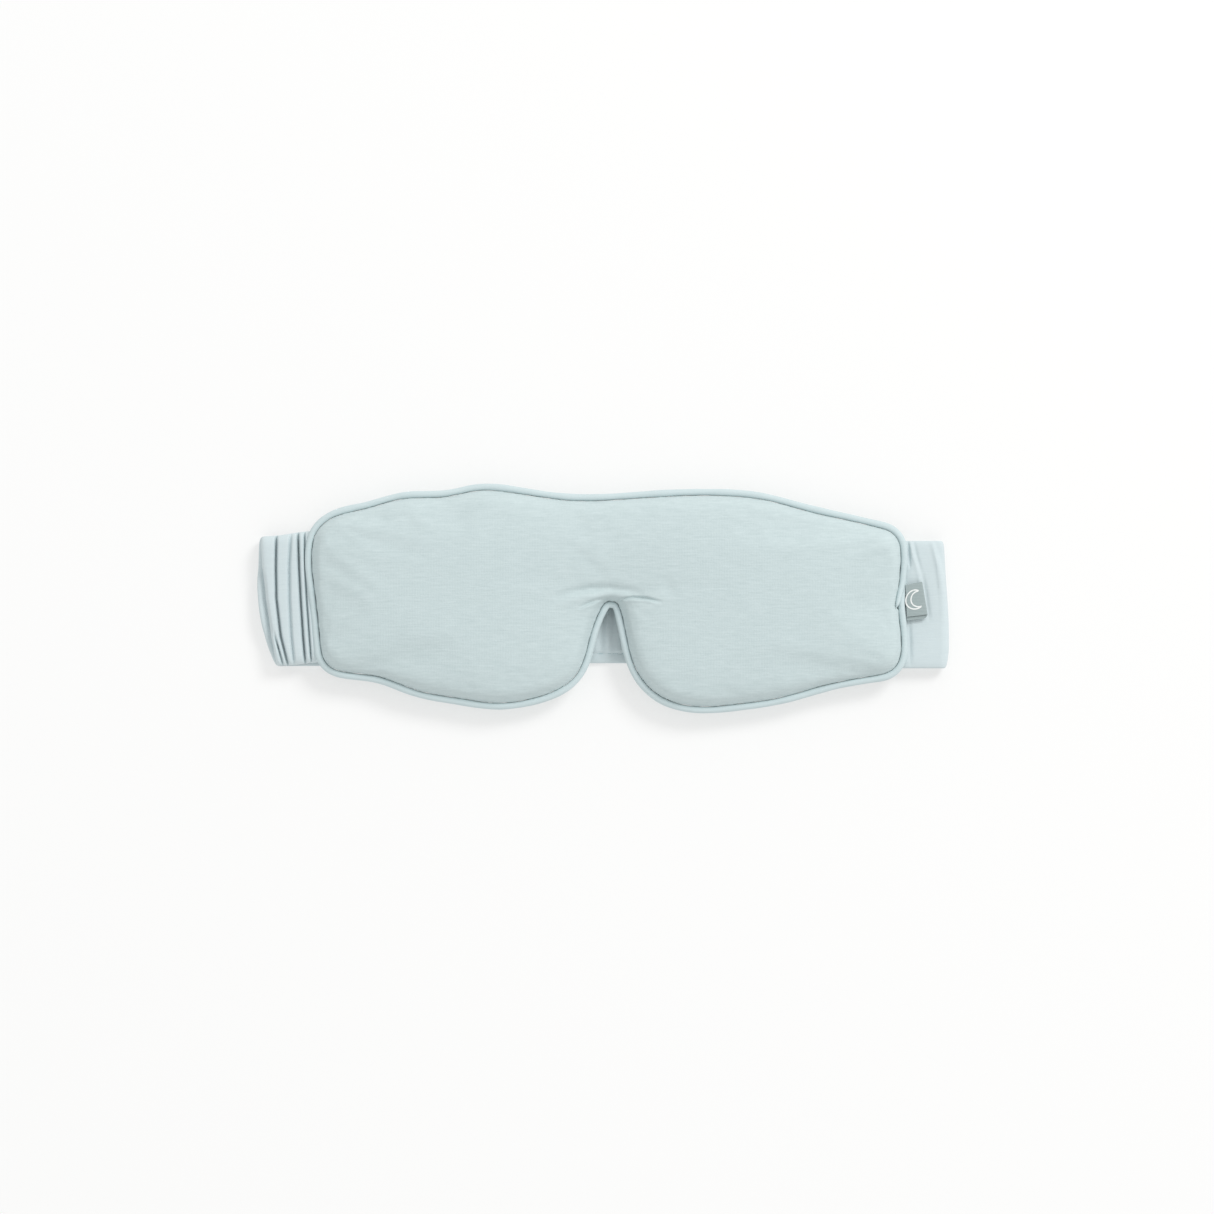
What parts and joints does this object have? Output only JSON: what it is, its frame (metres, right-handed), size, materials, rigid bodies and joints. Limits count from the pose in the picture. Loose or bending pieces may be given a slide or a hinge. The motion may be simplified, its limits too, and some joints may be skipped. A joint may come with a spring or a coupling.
{
  "type": "padded sleep mask",
  "caption": "Padded fabric sleep mask with nose notch, piped edge, woven side label and a wide elastic strap folded flat beneath it.",
  "frame": {"origin": "on the table under the middle of the folded mask, lying face up on its strap", "axes": "+X along the mask, +Y from the nose notch up to the brow edge, +Z out of the front face"},
  "size_m": [0.2604, 0.0864, 0.0169],
  "materials": {
    "front_jersey": "slubby cotton jersey, matt",
    "back_jersey": "plain cotton jersey, matt",
    "wadding": "lofty polyester wadding",
    "liner": "tight opaque weave",
    "piping_cloth": "bias-cut jersey, matt",
    "piping_filler": "soft twisted cotton cord",
    "thread": "spun polyester, satin",
    "strap_jersey": "gathered cotton jersey, matt",
    "elastic": "woven elastic webbing",
    "label_weave": "damask-woven tape",
    "label_motif": "woven figure"
  },
  "bodies": {
    "back_run": {"back_run_sleeve": "strap_jersey", "back_run_elastic": "elastic", "back_run_lower_stitching": "thread", "back_run_upper_stitching": "thread"},
    "left_run": {"left_run_sleeve": "strap_jersey", "left_run_elastic": "elastic", "left_run_lower_stitching": "thread", "left_run_upper_stitching": "thread", "left_fold_sleeve": "strap_jersey", "left_fold_elastic": "elastic"},
    "left_turn": {"left_turn_sleeve": "strap_jersey", "left_turn_elastic": "elastic"},
    "pad": {"front_panel": "front_jersey", "back_panel": "back_jersey", "front_wadding": "wadding", "back_wadding": "wadding", "blackout_liner": "liner", "piping_cover": "piping_cloth", "piping_cord": "piping_filler", "seam_thread": "thread"},
    "label": {"label_tab": "label_weave", "label_motif": "label_motif"},
    "right_run": {"right_run_sleeve": "strap_jersey", "right_run_elastic": "elastic", "right_run_lower_stitching": "thread", "right_run_upper_stitching": "thread", "right_fold_sleeve": "strap_jersey", "right_fold_elastic": "elastic"},
    "right_turn": {"right_turn_sleeve": "strap_jersey", "right_turn_elastic": "elastic"}
  },
  "joints": [
    {"name": "strap_open", "type": "hinge", "parent": "back_run", "child": "left_run", "pos_m": [-0.066, -0.0015, 0.0026], "axis": [0, 1, 0], "range_deg": [0, 24.92]},
    {"name": "left_unfold", "type": "hinge", "parent": "left_run", "child": "left_turn", "pos_m": [-0.1268, -0.0015, 0.0034], "axis": [0, 1, 0], "range_deg": [-69.97, 0], "deforming": ["left_fold_sleeve", "left_fold_elastic"]},
    {"name": "left_seam", "type": "hinge", "parent": "left_turn", "child": "pad", "pos_m": [-0.1114, -0.0015, 0.0055], "axis": [0, 1, 0], "range_deg": [0, 45.05]},
    {"name": "right_bend", "type": "hinge", "parent": "back_run", "child": "right_run", "pos_m": [0.05296, -0.0015, 0.0026], "axis": [0, 1, 0], "range_deg": [-21.51, 0]},
    {"name": "right_unfold", "type": "hinge", "parent": "right_run", "child": "right_turn", "pos_m": [0.1268, -0.0015, 0.0034], "axis": [0, 1, 0], "range_deg": [0, 66.51], "deforming": ["right_fold_sleeve", "right_fold_elastic"]},
    {"name": "label_flip", "type": "hinge", "parent": "pad", "child": "label", "pos_m": [0.115, -0.0006, 0.0085], "axis": [0, -1, 0], "range_deg": [0, 110]}
  ],
  "couplings": [
    {"joint": "left_unfold", "follows": "strap_open", "ratio": -2.8061},
    {"joint": "left_seam", "follows": "strap_open", "ratio": 1.8061},
    {"joint": "right_bend", "follows": "strap_open", "ratio": -0.86117},
    {"joint": "right_unfold", "follows": "strap_open", "ratio": 2.6673}
  ]
}
